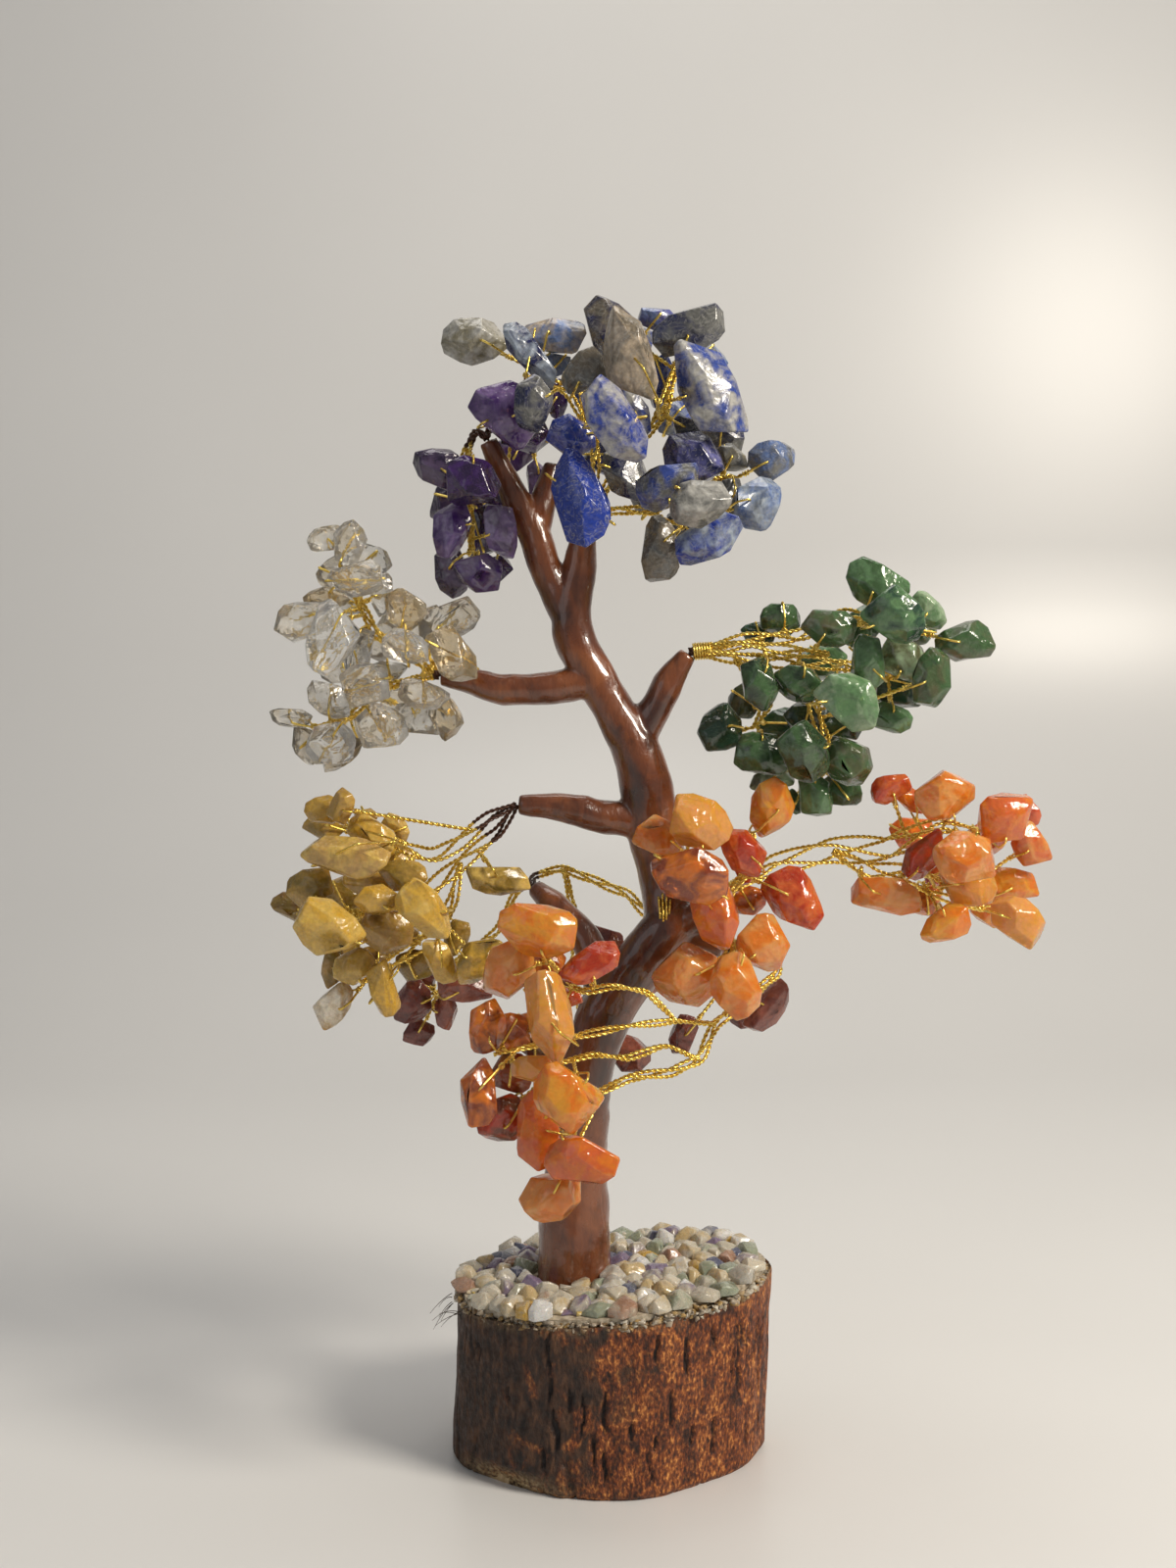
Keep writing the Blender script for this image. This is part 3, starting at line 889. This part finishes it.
def wire_paint(name, colour, dark):
    """Gold wire, brown where the coat of the limb runs out along it."""
    p = Paint(name)
    worn = p.ramp(p.noise(3.0, 4), (0.35, dark), (0.62, colour))
    gloss = p.ramp(p.noise(0.8, 3), (0.3, 0.2), (0.7, 0.42))
    ragged = p.math("SUBTRACT", p.noise(1.4, 3), 0.5)
    coated = p.ramp(p.math("ADD", p.value("coated"), ragged), (0.42, 0.0), (0.58, 1.0))
    return p.done(Base_Color=p.mix(coated, worn, (0.075, 0.026, 0.012, 1)), Roughness=gloss,
                  Metallic=p.math("SUBTRACT", 1.0, coated), Normal=p.bump(p.noise(0.5, 2), 0.02))


def coat_paint():
    p = Paint("brown_coat")
    tone = p.ramp(p.noise(11.0, 4, 0.6), (0.32, (0.052, 0.015, 0.007)), (0.5, (0.15, 0.041, 0.012)),
                  (0.75, (0.25, 0.080, 0.024)))
    pores = p.ramp(p.noise(2.4, 5, 0.6, (1, 1, 0.35)), (0.30, 0.62), (0.48, 1.0))
    tone = p.mix(1.0, tone, pores, "MULTIPLY")
    skin = p.bump(p.noise(2.6, 4, 0.5, (1, 1, 0.4)), 0.5)
    skin = p.bump(p.noise(0.6, 2), 0.05, skin)
    gloss = p.ramp(p.noise(2.5, 3), (0.3, 0.24), (0.7, 0.42))
    return p.done(Base_Color=tone, Roughness=gloss, Normal=skin, Coat_Weight=0.9, Coat_Roughness=0.06,
                  IOR=1.45)


def bark_paint():
    """Dark bark with orange grains, dark splits and a pale sawn rim."""
    p = Paint("log_bark_paint")
    grains = p.noise(0.62, 5, 0.2, (1, 1, 0.55))
    flecks = p.ramp(grains, (0.30, (0.030, 0.010, 0.005)), (0.44, (0.125, 0.035, 0.010)),
                    (0.56, (0.26, 0.080, 0.018)), (0.70, (0.64, 0.29, 0.075)))
    worn = p.ramp(p.noise(4.2, 5, 0.8, (1, 1, 0.5)), (0.36, (0.22, 0.17, 0.15)), (0.5, (0.85, 0.66, 0.55)),
                  (0.62, (1.2, 1.15, 1.1)))
    flecks = p.mix(1.0, flecks, worn, "MULTIPLY")
    dull = p.ramp(p.noise(1.6, 4, 0.4, (1, 1, 0.4)), (0.33, (0.012, 0.006, 0.004)),
                  (0.52, (0.045, 0.019, 0.009)), (0.72, (0.12, 0.052, 0.022)))
    streaks = p.math("SUBTRACT", p.noise(8.0, 6, 1.2, (1, 1, 0.7)), 0.5)
    patches = p.math("ADD", p.value("bright"), p.math("MULTIPLY", streaks, 4.0))
    colour = p.mix(p.ramp(patches, (0.2, 0.0), (0.8, 1.0)), dull, flecks)
    colour = p.mix(p.value("split"), colour, (0.010, 0.006, 0.006, 1))
    sawn = p.ramp(p.noise(0.7, 4, 0.2), (0.34, (0.06, 0.035, 0.015)), (0.5, (0.34, 0.22, 0.10)),
                  (0.68, (0.60, 0.47, 0.27)))
    colour = p.mix(p.value("rim"), colour, sawn)
    skin = p.bump(p.noise(3.0, 4, 0.5, (1, 1, 0.35)), 0.5)
    skin = p.bump(grains, 0.45, skin)
    gloss = p.ramp(p.noise(1.2, 3), (0.3, 0.45), (0.7, 0.8))
    return p.done(Base_Color=colour, Roughness=gloss, Normal=skin)


def grain_paint(name, *stops):
    """Matt material of a few tones, for wood, glue and crumbs."""
    p = Paint(name)
    tone = p.ramp(p.noise(1.3, 4, 0.4), *stops)
    return p.done(Base_Color=tone, Roughness=p.ramp(p.noise(0.9, 3), (0.3, 0.5), (0.7, 0.85)),
                  Normal=p.bump(p.noise(0.6, 3), 0.15))


# Layout: limbs, root balls and ropes as in the part, chips and twigs where the part has them.
limbs = limb_points()
balls, ropes, chips = {}, {}, {}
for spray, limb in SPRAY_LIMBS.items():
    points = limbs[limb][0]
    balls[spray] = points[-1] + unit(points[-1] - points[-2]) * BALL_RADIUS * BALL_OUT_SHARE
    ropes[spray] = []
    for leaves, radius_share, rows in ROPE_SHARES[spray]:
        start = balls[spray] if leaves is None else ropes[spray][leaves[0]][0][leaves[1] + 1]
        path = [start] + [spot(*row) for row in rows]
        line = dense(path, corner_radii(path, STEM_BEND), TWIG_PITCH / 2)
        ropes[spray].append((path, radius_share * STEM_RADIUS, line))
    chips[spray] = [Chip(spray, number, row) for number, row in enumerate(CHIP_SHARES[spray])]
    seat_chips(spray, chips[spray])
    twig_points, _ = corners_of(spray + "_twigs")
    for chip in chips[spray]:
        find_twig(chip, ropes[spray], twig_points)
    print(spray, "largest twig miss", round(max(chip.miss for chip in chips[spray]), 3))

# Stones
ball_dirs, ball_faces = ball(4)
for spray, own in chips.items():
    clear, glow, glow_colour, rough, vein, veining, grit = STONE_LOOKS[spray]
    shape = Shape()
    for number, chip in enumerate(own):
        round_off = STONE_ROUNDS[spray] * chip.half.min()
        inner = chip.local * (1 - round_off / chip.half)
        local = inner[np.argmax(ball_dirs @ inner.T, axis=1)] + round_off * ball_dirs
        dents = rough_noise(local, STONE_DENT_SIZE, number + 1) - 0.5
        local = local * (1 + STONE_DENT_DEPTH * dents / np.linalg.norm(local, axis=1))[:, None]
        one, two = STONE_TINTS[spray][number]
        shape.add(local @ chip.axes + chip.middle, ball_faces, tint_a=TINTS[one], tint_b=TINTS[two],
                  vein=TINTS[vein], seed=number + 1.0)
    paint = stone_paint(spray + "_stone_paint", clear, glow, glow_colour, rough, veining, grit)
    nodes = [f"{spray}_stones_{k + 1}" for k in range(3)]
    shape.make(spray + "_stones", paint, spray + "_spray", nodes)

# Wire: ropes of twisted strands, twigs of two strands that open into an eye through the stone.
gold = wire_paint("gold_wire_paint", (1.0, 0.76, 0.20), (0.72, 0.49, 0.09))
for spray in SPRAY_LIMBS:
    shape = Shape()
    for number, (path, radius, line) in enumerate(ropes[spray]):
        fine = resample(line, ROPE_STEP)
        spread_out, count = YARN_SPREAD, 2
        if radius > ROPE_THICK:
            spread_out, count = YARN_SPREADS.get(spray, (YARN_SPREAD, 3))
        far = np.linalg.norm(fine - balls[spray], axis=1)
        coat_end = COATED_LENGTHS.get(spray, BALL_RADIUS)
        coated = np.repeat(np.clip((coat_end - far) / BALL_RADIUS + 0.5, 0, 1), WIRE_SIDES)
        loose = radius - YARN_RADIUS + spread_out * np.sin(np.linspace(0, math.pi, len(fine)))
        for k, yarn in enumerate(strands(fine, count, loose, ROPE_TWIST * (1 + spread_out), number * 1.7)):
            for middle in strands(yarn, 2, YARN_RADIUS / 2, YARN_TWIST, k * 2.1 + number):
                shape.tube(middle, YARN_RADIUS * 0.54, WIRE_SIDES, coated=coated)
    if spray in BINDINGS:
        pairs = zip(ropes[spray], ROPE_SHARES[spray])
        first = [path[1] for (path, _, _), (leaves, _, _) in pairs if leaves is None]
        away = unit(np.mean(first, axis=0) - balls[spray])
        low = BALL_RADIUS * 0.7
        bound = balls[spray] + away * np.linspace(low, low + BINDINGS[spray], 90)[:, None]
        for middle in strands(bound, 2, BINDING_RADIUS, YARN_RADIUS * 2.6, 0.4):
            shape.tube(middle, YARN_RADIUS * 0.5, WIRE_SIDES, coated=0.0)
    shape.make(spray + "_rope_strands", gold, spray + "_spray", [spray + "_rope"])
    shape = Shape()
    for number, chip in enumerate(chips[spray]):
        d = unit(chip.knot - chip.mark)
        length = float(np.linalg.norm(chip.knot - chip.mark))
        fine = chip.mark + d * np.linspace(0, length, max(6, int(length / TWIG_STEP)))[:, None]
        for middle in strands(fine, 2, STRAND_RADIUS * 0.95, TWIG_TWIST, number):
            shape.tube(middle, STRAND_RADIUS * 0.95, WIRE_SIDES)
        wrap = chip.knot + d * np.linspace(-KNOT_RADIUS * 1.6, STRAND_RADIUS, 26)[:, None]
        for middle in strands(wrap, 1, KNOT_RADIUS - STRAND_RADIUS * 0.6, STRAND_RADIUS * 2.4, number):
            shape.tube(middle, STRAND_RADIUS * 0.8, WIRE_SIDES)
        eye = dense(chip.ring, corner_radii(chip.ring, LOOP_BEND), TWIG_STEP)
        shape.tube(eye, STRAND_RADIUS, WIRE_SIDES)
    shape.make(spray + "_twig_strands", gold, spray + "_spray", [spray + "_twigs"])

# Trunk coat: the limbs as round tubes, melted into one skin, then lumps and ridges.
raw = Shape()
for points, radii in limbs.values():
    knots = np.array([2 * points[0] - points[1]] + list(points) + [2 * points[-1] - points[-2]])
    sizes = np.array([radii[0]] + list(radii) + [radii[-1]])
    path, thick = [], []
    for k in range(1, len(knots) - 2):
        for t in np.linspace(0, 1, 12, endpoint=k == len(knots) - 3):
            a, b, c, e = knots[k - 1:k + 3]
            path.append(0.5 * (2 * b + (c - a) * t + (2 * a - 5 * b + 4 * c - e) * t ** 2
                               + (3 * b - a - 3 * c + e) * t ** 3))
            thick.append(sizes[k] + (sizes[k + 1] - sizes[k]) * t)
    raw.tube(path, np.array(thick), 28)
base = raw.make("trunk_raw", gold, "tree")
skin = base.modifiers.new("skin", "REMESH")
skin.mode = "VOXEL"
skin.voxel_size = COAT_CELL * MM
even = base.modifiers.new("even", "SMOOTH")
even.iterations = 5
mesh = bpy.data.meshes.new_from_object(base.evaluated_get(bpy.context.evaluated_depsgraph_get()))
verts = np.zeros(len(mesh.vertices) * 3)
mesh.vertices.foreach_get("co", verts)
verts = verts.reshape(-1, 3) / MM
normals = np.zeros(len(mesh.vertices) * 3)
mesh.vertex_normals.foreach_get("vector", normals)
normals = normals.reshape(-1, 3)
ridges = noise(verts * np.array([1, 1, COAT_RIDGE_STRETCH]), COAT_RIDGE_SIZE, 5) - 0.5
lumps = rough_noise(verts, COAT_LUMP_SIZE, 9) - 0.5
tips = np.min([np.linalg.norm(verts - middle, axis=1) for middle in balls.values()], axis=0)
calm = np.clip((tips - BALL_RADIUS) / TIP_CALM, 0, 1)
verts += normals * ((COAT_SWELL + ridges * COAT_RIDGE + lumps * COAT_LUMP) * calm)[:, None]
for middle in balls.values():
    off = verts - middle
    far = np.linalg.norm(off, axis=1)
    inside = far < BALL_RADIUS + BALL_CLEARANCE
    verts[inside] = middle + off[inside] / far[inside, None] * (BALL_RADIUS + BALL_CLEARANCE)
coat = Shape()
coat.add(verts, [list(face.vertices) for face in mesh.polygons])
bpy.data.objects.remove(base)
coat.make("trunk_skin", coat_paint(), "tree", ["trunk_coat"])

# A bare spot at the knee, where the core wires show through the coat.
tree = KDTree(len(verts))
for number, vert in enumerate(verts):
    tree.insert(vert, number)
tree.balance()
bare = Shape()
for top, foot in BARE_WIRES_PX:
    line = []
    for share in np.linspace(0, 1, 14):
        column, row = np.array(top) + (np.array(foot) - np.array(top)) * share
        for depth in np.linspace(-1, 1, 160):
            place = spot(column, row, depth)
            if tree.find(place)[2] < COAT_CELL:
                break
        sink = BARE_SINK * abs(2 * share - 1) ** 3
        line.append(place + np.array([0, sink - STRAND_RADIUS, 0]))
    bare.tube(line, STRAND_RADIUS * 1.1, 8, coated=0.0)
bare.make("knee_bare_wires", gold, "tree", ())

# Bark: a wavy wall with splits, a crumbled sawn rim and a chip out of the foot at the left.
turns = np.linspace(0, 2 * math.pi, BARK_COLUMNS, endpoint=False)
wall = [("wall", t) for t in np.linspace(0, 1, BARK_ROWS)]
wall += [("rim", t) for t in np.linspace(0, 1, 12)[1:]]
wall += [("inner", t) for t in np.linspace(1, 0, 6)[1:]]
wave = 1 + sum(high * np.sin(count * turns + start) for count, high, start in LOG_WAVE_SHARES)
rows, rims = [], []
for kind, t in wall:
    inset = {"wall": 0.0, "rim": t * BARK_THICKNESS, "inner": BARK_THICKNESS}[kind]
    share = t if kind != "rim" else 1.0
    x = (LOG_HALF_WIDTH * wave - inset) * np.cos(turns)
    y = (LOG_HALF_DEPTH * wave - inset) * np.sin(turns)
    z = share * (LOG_HEIGHT + x * math.tan(math.radians(LOG_TOP_SLOPE_DEG)))
    rows.append(np.stack([x + LOG_LEAN * (share - 0.5), y, z], axis=1))
    rims.append(np.full(len(turns), 1.0 if kind == "rim" else 0.0))
verts = np.concatenate(rows)
rim = np.concatenate(rims)
out = np.stack([np.cos(turns) / LOG_HALF_WIDTH, np.sin(turns) / LOG_HALF_DEPTH, turns * 0], axis=1)
out = np.tile(out / np.linalg.norm(out, axis=1)[:, None], (len(wall), 1))
outer = np.concatenate([np.full(len(turns), 1.0 if kind == "wall" else 0.0) for kind, _ in wall])
stretched = verts * np.array([1, 1, 0.22])
split = np.abs(rough_noise(stretched, 5.2, 3) - 0.5)
split = np.clip(1 - split / 0.03, 0, 1) * np.clip((noise(verts, 11.0, 8) - 0.5) * 6, 0, 1)
angles = np.arctan2(verts[:, 1] / LOG_HALF_DEPTH, verts[:, 0] / LOG_HALF_WIDTH)
rng = random.Random("splits")
for number in range(SPLITS):
    turn = math.radians(rng.uniform(-115, -15) if number % 3 else rng.uniform(-15, 245))
    rise = LOG_HEIGHT * rng.uniform(0.12, 0.9)
    long, wide = SPLIT_LENGTH * rng.uniform(0.4, 1.3), SPLIT_WIDTH * rng.uniform(0.5, 1.4)
    away = (np.mod(angles - turn + math.pi, 2 * math.pi) - math.pi) * LOG_HALF_WIDTH
    bend = (noise(verts, 3.0, 40) - 0.5) * 1.2
    lens = 1 - ((away + bend) / wide) ** 2 - ((verts[:, 2] - rise) / long) ** 2
    split = np.maximum(split, np.clip(lens * 1.6, 0, 1))
swell = rough_noise(verts * np.array([1, 1, 0.5]), 7.0, 12) - 0.5
level = verts[:, 2] / (LOG_HEIGHT + verts[:, 0] * math.tan(math.radians(LOG_TOP_SLOPE_DEG)))
gap = np.exp(-((angles + FOOT_CHIP_TURN) / FOOT_CHIP_WIDE) ** 2) * np.clip((0.14 - level) / 0.10, 0, 1)
crumble = np.clip((level - 0.93) / 0.07, 0, 1) * (rough_noise(verts, 2.2, 21) - 0.25)
move = outer * (swell * BARK_SWELL - split * SPLIT_DEPTH - gap * FOOT_CHIP_DEPTH)
move = move - crumble * outer * RIM_CRUMBLE
round_foot = outer * np.clip((0.03 - level) / 0.03, 0, 1) * 0.8
verts = verts + out * (move - round_foot)[:, None]
verts[:, 2] -= rim * rough_noise(verts, 1.6, 31) * 1.1
front = np.clip(0.5 - verts[:, 1] / LOG_HALF_DEPTH, 0, 1)
bright = 0.45 + front * (0.1 + 1.5 * (verts[:, 0] / LOG_HALF_WIDTH + 0.30 - 0.35 * level))
faces = []
count = len(turns)
for k in range(len(wall)):
    after = (k + 1) % len(wall)
    for i in range(count):
        j = (i + 1) % count
        faces.append([k * count + i, k * count + j, after * count + j, after * count + i])
bark = Shape()
bark.add(verts, faces, split=split * outer, rim=np.clip(rim + gap * 0.9 + crumble * outer * 1.2, 0, 1),
         bright=bright)
bark.make("log_bark_skin", bark_paint(), "tree", ["log_bark"])

# Gravel: each CAD chip rounded off and spread flatter on its bed.
pebble_dirs, pebble_faces = ball(3)
rng = random.Random("gravel tints")
for colour, tints in GRAVEL_TINTS.items():
    shape = Shape()
    for number, corners in enumerate(islands("gravel_" + colour)):
        middle = (corners.max(axis=0) + corners.min(axis=0)) / 2
        half = (corners.max(axis=0) - corners.min(axis=0)) / 2
        round_off = GRAVEL_ROUND * half.min()
        inner = (corners - middle) * (half - round_off) / half
        local = inner[np.argmax(pebble_dirs @ inner.T, axis=1)] + round_off * pebble_dirs
        dents = rough_noise(local, GRAVEL_DENT_SIZE, number + 50) - 0.5
        local = local * (1 + GRAVEL_DENT_DEPTH * dents / np.linalg.norm(local, axis=1))[:, None]
        flat = 1 + GRAVEL_FLAT * rng.uniform(0.5, 1.3)
        local = local * np.array([flat, flat, 1 / flat])
        middle[2] -= half[2] * (1 - 1 / flat)
        one, two = rng.choice(tints), rng.choice(tints)
        shape.add(local + middle, pebble_faces, tint_a=TINTS[one], tint_b=TINTS[two], vein=TINTS["cream"],
                  seed=rng.uniform(1, 90))
    paint = stone_paint(f"gravel_{colour}_paint", 0.3, 0.3, (1.0, 0.8, 0.6), 0.24, 0.1, 0.06)
    shape.make(f"gravel_{colour}_pebbles", paint, "tree", ["gravel_" + colour])

# Fines: small chips between the gravel, and wood crumbs along the sawn rim.
rng = random.Random("crumbs")
foot = limbs["lower"][0][0]
for name, count, size, tints, level, rough in (("gravel_fines", FINES, FINE_SIZE, FINE_TINTS, 2, 0.25),
                                               ("rim_crumbs", CRUMBS, CRUMB_SIZE, CRUMB_TINTS, 1, 0.6)):
    crumb_dirs, crumb_faces = ball(level)
    crumbs = Shape()
    for _ in range(count):
        share = math.sqrt(rng.random()) * 0.93 if name == "gravel_fines" else rng.uniform(0.925, 0.995)
        turn = rng.uniform(0, 2 * math.pi)
        x, y = LOG_HALF_WIDTH * share * math.cos(turn), LOG_HALF_DEPTH * share * math.sin(turn)
        wide = size * rng.uniform(0.5, 1.3)
        if math.hypot(x - foot[0], y - foot[1]) < TRUNK_RADIUS + wide:
            continue
        rise = GLUE_THICKNESS + 0.6 * wide if name == "gravel_fines" else wide * rng.uniform(-1.4, 0.7)
        half = np.array([rng.uniform(0.6, 1.4), rng.uniform(0.6, 1.4), rng.uniform(0.4, 0.9)]) * wide
        corners = np.array([[rng.uniform(-1, 1) for _ in range(3)] for _ in range(12)]) * half
        local = corners[np.argmax(crumb_dirs @ corners.T, axis=1)] + crumb_dirs * wide * 0.12
        middle = np.array([x + LOG_LEAN / 2, y, log_top(x) + rise])
        one, two = rng.choice(tints), rng.choice(tints)
        crumbs.add(local + middle, crumb_faces, tint_a=TINTS[one], tint_b=TINTS[two], vein=TINTS["cream"],
                   seed=rng.uniform(1, 90))
    paint = stone_paint(name + "_paint", 0.1, 0.2, (1.0, 0.8, 0.6), rough, 0.1, 0.12)
    crumbs.make(name, paint, "tree", ())

# Fibres of bark that stand off the rim at the left.
fibres = Shape()
for _ in range(FIBRES):
    turn = math.radians(rng.uniform(178, 205))
    x, y = LOG_HALF_WIDTH * math.cos(turn), LOG_HALF_DEPTH * math.sin(turn)
    start = np.array([x, y, log_top(x) - rng.uniform(0, 2.5)])
    bend = np.array([rng.uniform(-1.2, -0.3), rng.uniform(-0.7, 0.3), rng.uniform(-0.9, 0.5)])
    drop = np.array([0, 0, -rng.uniform(0.2, 0.9)])
    length = FIBRE_LENGTH * rng.uniform(0.4, 1.2)
    steps = np.linspace(0, 1, 9)[:, None]
    fibres.tube(start + unit(bend) * length * steps + drop * length * steps ** 2, 0.1 - 0.06 * steps[:, 0], 5)
fibres.make("rim_fibres", grain_paint("fibre_paint", (0.3, (0.02, 0.012, 0.008)), (0.7, (0.09, 0.05, 0.025))),
            "tree", ())

# CAD nodes that stay.
sawn = grain_paint("sawn_wood_paint", (0.3, (0.30, 0.19, 0.09)), (0.6, (0.52, 0.37, 0.2)),
                   (0.8, (0.62, 0.48, 0.3)))
glue = grain_paint("dried_glue_paint", (0.3, (0.22, 0.17, 0.11)), (0.55, (0.5, 0.43, 0.32)),
                   (0.8, (0.68, 0.62, 0.5)))
for node, paint in (("log_wood", sawn), ("glue_bed", glue), ("trunk_core", gold)):
    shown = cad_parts[node]
    shown.data.materials.clear()
    shown.data.materials.append(paint)

# Stage: pale floor that curves up into a wall, soft light from the right, the photo's camera.
floor = Shape()
profile = [(-1.2, 0.0)] + [(0.35 + 0.25 * math.sin(a), 0.25 - 0.25 * math.cos(a))
                           for a in np.linspace(0, math.pi / 2, 14)] + [(0.6, 1.6)]
verts = [(x / MM, y / MM, z / MM) for y, z in profile for x in (-2.0, 2.0)]
floor.add(verts, [[2 * k, 2 * k + 1, 2 * k + 3, 2 * k + 2] for k in range(len(profile) - 1)])
p = Paint("pale_floor")
pale = p.done(Base_Color=p.ramp(p.noise(300.0, 2), (0.3, (0.70, 0.695, 0.685)), (0.7, (0.74, 0.735, 0.725))),
              Roughness=0.32)
ground = bpy.data.meshes.new("floor")
ground.from_pydata((np.concatenate(floor.verts) * MM).tolist(), [], floor.faces)
ground.polygons.foreach_set("use_smooth", [True] * len(ground.polygons))
ground.materials.append(pale)
ground_object = bpy.data.objects.new("floor", ground)
bpy.context.scene.collection.objects.link(ground_object)


def lamp(name, place, target, size, power, colour):
    light = bpy.data.lights.new(name, "AREA")
    light.shape = "DISK"
    light.size = size
    light.energy = power
    light.color = colour
    holder = bpy.data.objects.new(name, light)
    holder.location = place
    aim = Vector(target) - Vector(place)
    holder.rotation_euler = aim.to_track_quat("-Z", "Y").to_euler()
    bpy.context.scene.collection.objects.link(holder)
    return holder


lamps = [lamp(name, *row) for name, row in LAMPS.items()]
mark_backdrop(ground_object, *lamps)

scene = bpy.context.scene
world = bpy.data.worlds.new("studio")
world.use_nodes = True
world.node_tree.nodes["Background"].inputs["Color"].default_value = WORLD_COLOUR
world.node_tree.nodes["Background"].inputs["Strength"].default_value = WORLD_STRENGTH
scene.world = world
scene.view_settings.view_transform = "Standard"
eye = bpy.data.cameras.new("eye")
eye.sensor_fit = "HORIZONTAL"
eye.sensor_width = SENSOR
eye.lens = SENSOR * FOCAL_PX / (2 * MIDDLE_PX[0])
eye.clip_start = 0.01
camera = bpy.data.objects.new("eye", eye)
camera.location = (EYE_SIDE * MM, -EYE_DISTANCE * MM, EYE_HEIGHT * MM)
camera.rotation_euler = (math.radians(90 - EYE_PITCH_DEG), 0, 0)
scene.collection.objects.link(camera)
scene.camera = camera

low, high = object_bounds()
